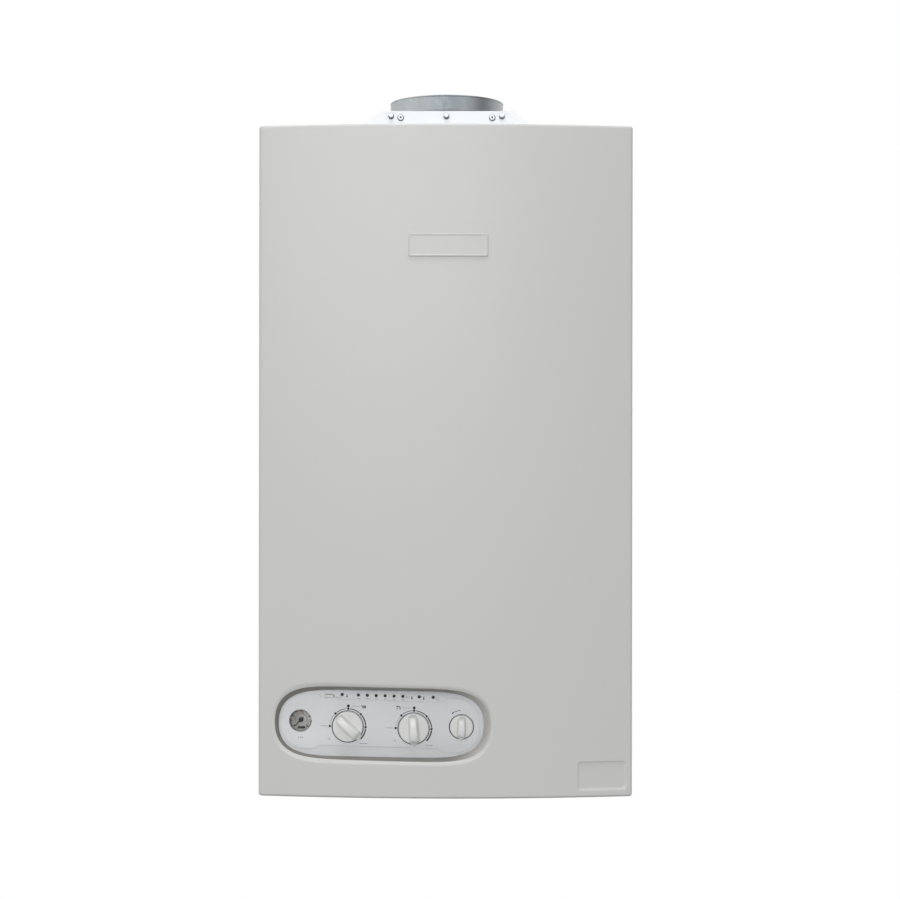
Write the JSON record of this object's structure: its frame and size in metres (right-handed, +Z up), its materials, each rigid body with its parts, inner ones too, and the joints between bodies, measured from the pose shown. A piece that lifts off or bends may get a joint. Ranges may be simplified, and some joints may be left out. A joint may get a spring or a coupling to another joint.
{
  "type": "gas boiler",
  "caption": "Wall-hung open-flue gas boiler with a bowed light grey casing, a round flue collar on a draught hood, an oval control panel with turning knobs, and pipe stubs below",
  "frame": {"origin": "centre of the wall bracket's rear face, on the wall", "axes": "+X to the right seen from the front, +Y into the wall, +Z up; the front faces -Y"},
  "size_m": [0.4, 0.344, 0.7948],
  "materials": {
    "casing_paint": "satin light grey enamel",
    "hood_paint": "satin white enamel",
    "galvanised_sheet": "spangled zinc coat",
    "zinc_plate": "bright zinc plate",
    "stainless": "bright stainless steel",
    "copper": "bright copper",
    "brass": "machined brass",
    "cast_alloy": "die cast alloy",
    "cast_iron": "painted grey casting",
    "pump_paint": "dark satin enamel",
    "vessel_paint": "red enamel",
    "fibre_board": "matt ceramic fibre",
    "electrode_ceramic": "white glazed ceramic",
    "white_plastic": "matt pale grey",
    "knob_plastic": "satin ivory",
    "grey_plastic": "matt grey",
    "black_plastic": "satin black",
    "red_plastic": "glossy red",
    "smoked_plastic": "glossy smoked",
    "board_green": "green lacquer",
    "clear_lens": "clear moulded window"
  },
  "bodies": {
    "frame": {"top_panel": "casing_paint", "hood_front_plate": "hood_paint", "back_frame": "galvanised_sheet", "bottom_plate": "galvanised_sheet", "left_chassis_plate": "galvanised_sheet", "right_chassis_plate": "galvanised_sheet", "draught_hood": "galvanised_sheet", "flue_collar": "galvanised_sheet", "combustion_chamber": "galvanised_sheet", "wall_bracket": "zinc_plate", "hood_screw_left": "zinc_plate", "hood_screw_middle": "zinc_plate", "hood_screw_right": "zinc_plate", "washer_screw_left": "zinc_plate", "washer_screw_right": "zinc_plate", "flue_thermostat": "zinc_plate", "gas_manifold": "zinc_plate", "hinge_rod": "zinc_plate", "burner_rack": "stainless", "plate_exchanger": "stainless", "heat_exchanger": "copper", "gas_inlet_pipe": "copper", "gas_feed_pipe": "copper", "vessel_pipe": "copper", "exchanger_flow_pipe": "copper", "exchanger_return_pipe": "copper", "return_block": "brass", "flow_block": "brass", "air_vent": "brass", "heating_flow_stub": "brass", "hot_water_stub": "brass", "gas_stub": "brass", "cold_water_stub": "brass", "heating_return_stub": "brass", "gas_valve": "cast_alloy", "pump_body": "cast_iron", "pump_motor": "pump_paint", "expansion_vessel": "vessel_paint", "chamber_lining": "fibre_board", "ignition_electrode": "electrode_ceramic", "flame_electrode": "electrode_ceramic", "diverter_actuator": "black_plastic"},
    "front_cover": {"front_cover": "casing_paint", "name_plate": "casing_paint", "cover_screw_left": "zinc_plate", "cover_screw_right": "zinc_plate"},
    "control_panel": {"control_box": "grey_plastic", "control_fascia": "white_plastic", "circuit_board": "board_green", "status_lights": "smoked_plastic", "gauge_body": "grey_plastic", "gauge_lens": "clear_lens"},
    "heating_knob": {"heating_knob": "knob_plastic"},
    "water_knob": {"water_knob": "knob_plastic"},
    "mode_knob": {"mode_knob": "knob_plastic"},
    "reset_button": {"reset_button": "knob_plastic"},
    "gauge_needle": {"gauge_needle": "black_plastic"},
    "safety_valve_knob": {"safety_valve_knob": "red_plastic"},
    "filling_tap_knob": {"filling_tap_knob": "black_plastic"}
  },
  "joints": [
    {"name": "cover_slide", "type": "slide", "parent": "frame", "child": "front_cover", "axis": [0, -1, 0], "range_m": [0, 0.38]},
    {"name": "panel_tip", "type": "hinge", "parent": "frame", "child": "control_panel", "pos_m": [-0.0692, -0.312, -0.659], "axis": [1, 0, 0], "range_deg": [0, 90]},
    {"name": "heating_knob_turn", "type": "hinge", "parent": "control_panel", "child": "heating_knob", "pos_m": [-0.10451, -0.32, -0.60128], "axis": [0, 1, 0], "range_deg": [-87, 183]},
    {"name": "water_knob_turn", "type": "hinge", "parent": "control_panel", "child": "water_knob", "pos_m": [-0.03394, -0.32, -0.60332], "axis": [0, 1, 0], "range_deg": [-135, 135]},
    {"name": "mode_knob_turn", "type": "hinge", "parent": "control_panel", "child": "mode_knob", "pos_m": [0.01733, -0.32, -0.60141], "axis": [0, 1, 0], "range_deg": [-60, 60]},
    {"name": "reset_button_press", "type": "slide", "parent": "control_panel", "child": "reset_button", "axis": [0, 1, 0], "range_m": [0, 0.0012], "stiffness_N_per_m": 600, "springref_m": -0.0004},
    {"name": "gauge_needle_turn", "type": "hinge", "parent": "control_panel", "child": "gauge_needle", "pos_m": [-0.15536, -0.311, -0.5951], "axis": [0, 1, 0], "range_deg": [0, 270], "stiffness_Nm_per_rad": 0.0001},
    {"name": "safety_valve_turn", "type": "hinge", "parent": "frame", "child": "safety_valve_knob", "pos_m": [0.098, -0.1653, -0.613], "axis": [0, -1, 0], "range_deg": [0, 90]},
    {"name": "filling_tap_turn", "type": "hinge", "parent": "frame", "child": "filling_tap_knob", "pos_m": [0.065, -0.16, -0.675], "axis": [0, 0, -1], "range_deg": [0, 720]}
  ],
  "couplings": [
    {"joint": "panel_tip", "follows": "cover_slide", "rad_per_m": 4.1327}
  ]
}
